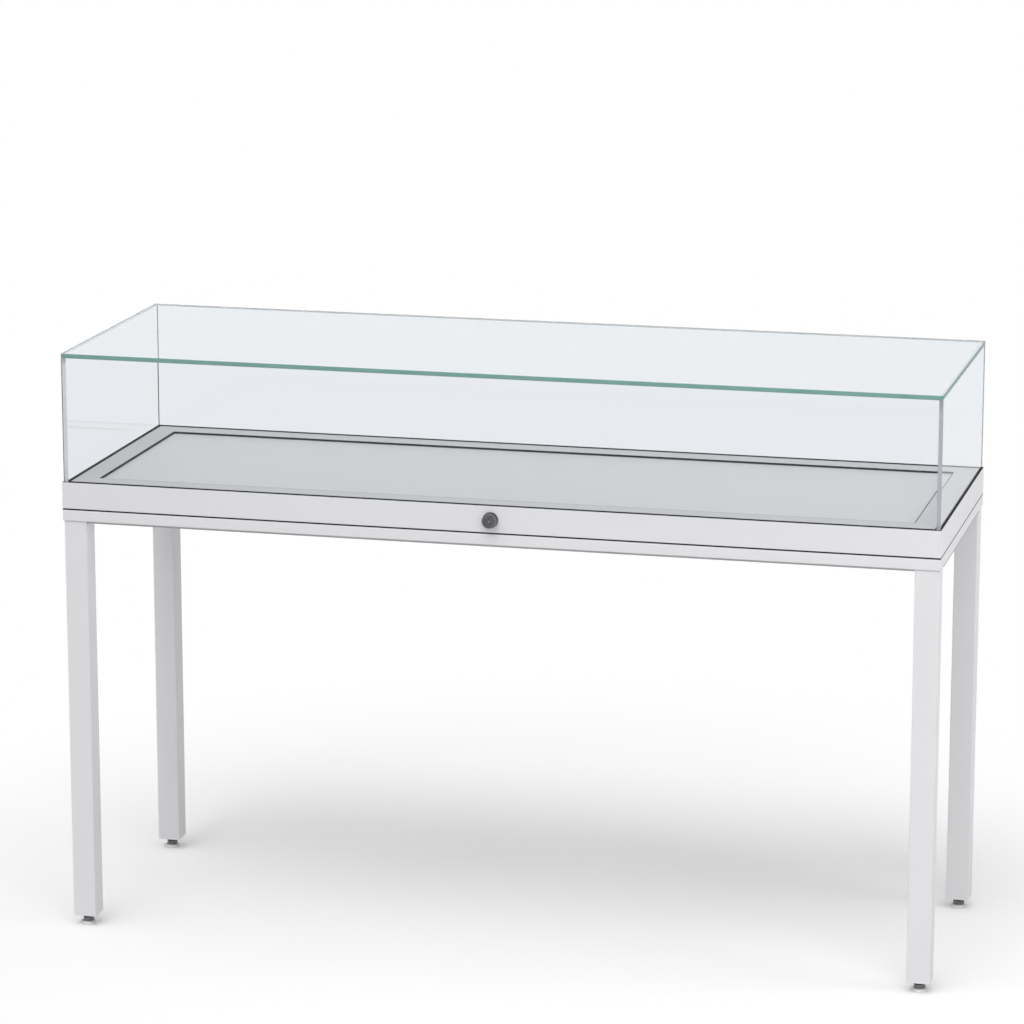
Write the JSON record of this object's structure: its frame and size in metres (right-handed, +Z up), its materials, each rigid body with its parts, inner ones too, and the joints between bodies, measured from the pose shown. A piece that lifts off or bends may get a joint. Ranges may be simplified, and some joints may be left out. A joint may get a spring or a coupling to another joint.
{
  "type": "table display case",
  "caption": "Table-type display case: low glass hood, hinged at the rear and locked at the front, on a steel table frame with square legs and levelling feet.",
  "frame": {"origin": "on the floor, under the middle of the whole object's box, lock and hinges included", "axes": "+X along the case to the right as seen from the lock side, +Y to the rear, +Z up"},
  "size_m": [1.5, 0.524, 1.01],
  "materials": {
    "white_enamel": "smooth white powder coat",
    "laminate": "light grey laminated board",
    "clear_glass": "clear laminated float glass with polished edges",
    "black_rubber": "matt black gasket rubber",
    "black_plastic": "matt black moulding",
    "grey_nylon": "pale translucent nylon",
    "zinc_steel": "bright zinc plated",
    "dark_nickel": "dark nickel plated",
    "black_lacquer": "black lacquer",
    "polished_steel": "hard chromed and polished"
  },
  "bodies": {
    "table": {"leg_front_left": "white_enamel", "leg_front_right": "white_enamel", "leg_rear_left": "white_enamel", "leg_rear_right": "white_enamel", "leg_bolt_front_left": "zinc_steel", "leg_bolt_front_right": "zinc_steel", "leg_bolt_rear_left": "zinc_steel", "leg_bolt_rear_right": "zinc_steel", "foot_insert_front_left": "black_plastic", "foot_insert_front_right": "black_plastic", "foot_insert_rear_left": "black_plastic", "foot_insert_rear_right": "black_plastic", "front_rail": "white_enamel", "rear_rail": "white_enamel", "left_rail": "white_enamel", "right_rail": "white_enamel", "cross_rail_left": "white_enamel", "cross_rail_right": "white_enamel", "deck_tray": "white_enamel", "display_panel": "laminate", "deck_seal": "black_rubber", "frame_seal": "black_rubber", "strike": "zinc_steel", "hinge_lower_leaf_left": "zinc_steel", "hinge_lower_leaf_right": "zinc_steel", "hinge_pin_left": "zinc_steel", "hinge_pin_right": "zinc_steel", "spring_bracket_table_left": "zinc_steel", "spring_bracket_table_right": "zinc_steel"},
    "hood": {"hood_frame": "white_enamel", "hood_ledge": "white_enamel", "glazing_gasket": "black_rubber", "glass_top": "clear_glass", "glass_front": "clear_glass", "glass_rear": "clear_glass", "glass_left": "clear_glass", "glass_right": "clear_glass", "hinge_upper_leaf_left": "zinc_steel", "hinge_upper_leaf_right": "zinc_steel", "spring_bracket_hood_left": "zinc_steel", "spring_bracket_hood_right": "zinc_steel", "lock_body": "dark_nickel", "lock_nut": "zinc_steel"},
    "lock_cylinder": {"lock_plug": "dark_nickel", "lock_cam": "zinc_steel", "lock_cam_screw": "zinc_steel"},
    "spring_tube_left": {"gas_spring_tube_left": "black_lacquer"},
    "spring_tube_right": {"gas_spring_tube_right": "black_lacquer"},
    "spring_rod_left": {"gas_spring_rod_left": "polished_steel"},
    "spring_rod_right": {"gas_spring_rod_right": "polished_steel"},
    "pad_front_left": {"foot_pad_front_left": "grey_nylon"},
    "pad_front_right": {"foot_pad_front_right": "grey_nylon"},
    "pad_rear_left": {"foot_pad_rear_left": "grey_nylon"},
    "pad_rear_right": {"foot_pad_rear_right": "grey_nylon"},
    "stud_front_left": {"foot_stud_front_left": "zinc_steel"},
    "stud_front_right": {"foot_stud_front_right": "zinc_steel"},
    "stud_rear_left": {"foot_stud_rear_left": "zinc_steel"},
    "stud_rear_right": {"foot_stud_rear_right": "zinc_steel"}
  },
  "joints": [
    {"name": "hood_hinge", "type": "hinge", "parent": "table", "child": "hood", "pos_m": [0, 0.25725, 0.7425], "axis": [-1, 0, 0], "range_deg": [0, 60]},
    {"name": "lock_turn", "type": "hinge", "parent": "hood", "child": "lock_cylinder", "pos_m": [0, -0.24775, 0.765], "axis": [0, -1, 0], "range_deg": [0, 90]},
    {"name": "spring_tilt_left", "type": "hinge", "parent": "table", "child": "spring_tube_left", "pos_m": [-0.7235, -0.14775, 0.752], "axis": [1, 0, 0], "range_deg": [0, 17.4]},
    {"name": "spring_tilt_right", "type": "hinge", "parent": "table", "child": "spring_tube_right", "pos_m": [0.7235, -0.14775, 0.752], "axis": [1, 0, 0], "range_deg": [0, 17.4]},
    {"name": "spring_stroke_left", "type": "slide", "parent": "spring_tube_left", "child": "spring_rod_left", "axis": [0, 0.9974, 0.0718], "range_m": [0, 0.127]},
    {"name": "spring_stroke_right", "type": "slide", "parent": "spring_tube_right", "child": "spring_rod_right", "axis": [0, 0.9974, 0.0718], "range_m": [0, 0.127]},
    {"name": "foot_height_front_left", "type": "slide", "parent": "table", "child": "pad_front_left", "axis": [0, 0, -1], "range_m": [0, 0.012]},
    {"name": "foot_height_front_right", "type": "slide", "parent": "table", "child": "pad_front_right", "axis": [0, 0, -1], "range_m": [0, 0.012]},
    {"name": "foot_height_rear_left", "type": "slide", "parent": "table", "child": "pad_rear_left", "axis": [0, 0, -1], "range_m": [0, 0.012]},
    {"name": "foot_height_rear_right", "type": "slide", "parent": "table", "child": "pad_rear_right", "axis": [0, 0, -1], "range_m": [0, 0.012]},
    {"name": "foot_screw_front_left", "type": "hinge", "parent": "pad_front_left", "child": "stud_front_left", "pos_m": [-0.728, -0.22575, 0], "axis": [0, 0, -1], "range_deg": [0, 2880]},
    {"name": "foot_screw_front_right", "type": "hinge", "parent": "pad_front_right", "child": "stud_front_right", "pos_m": [0.728, -0.22575, 0], "axis": [0, 0, -1], "range_deg": [0, 2880]},
    {"name": "foot_screw_rear_left", "type": "hinge", "parent": "pad_rear_left", "child": "stud_rear_left", "pos_m": [-0.728, 0.23025, 0], "axis": [0, 0, -1], "range_deg": [0, 2880]},
    {"name": "foot_screw_rear_right", "type": "hinge", "parent": "pad_rear_right", "child": "stud_rear_right", "pos_m": [0.728, 0.23025, 0], "axis": [0, 0, -1], "range_deg": [0, 2880]}
  ],
  "couplings": [
    {"joint": "spring_tilt_left", "follows": "hood_hinge", "ratio": 0.28993},
    {"joint": "spring_tilt_right", "follows": "hood_hinge", "ratio": 0.28993},
    {"joint": "spring_stroke_left", "follows": "hood_hinge", "m_per_rad": 0.12125},
    {"joint": "spring_stroke_right", "follows": "hood_hinge", "m_per_rad": 0.12125},
    {"joint": "foot_screw_front_left", "follows": "foot_height_front_left", "rad_per_m": 4188.8},
    {"joint": "foot_screw_front_right", "follows": "foot_height_front_right", "rad_per_m": 4188.8},
    {"joint": "foot_screw_rear_left", "follows": "foot_height_rear_left", "rad_per_m": 4188.8},
    {"joint": "foot_screw_rear_right", "follows": "foot_height_rear_right", "rad_per_m": 4188.8}
  ]
}
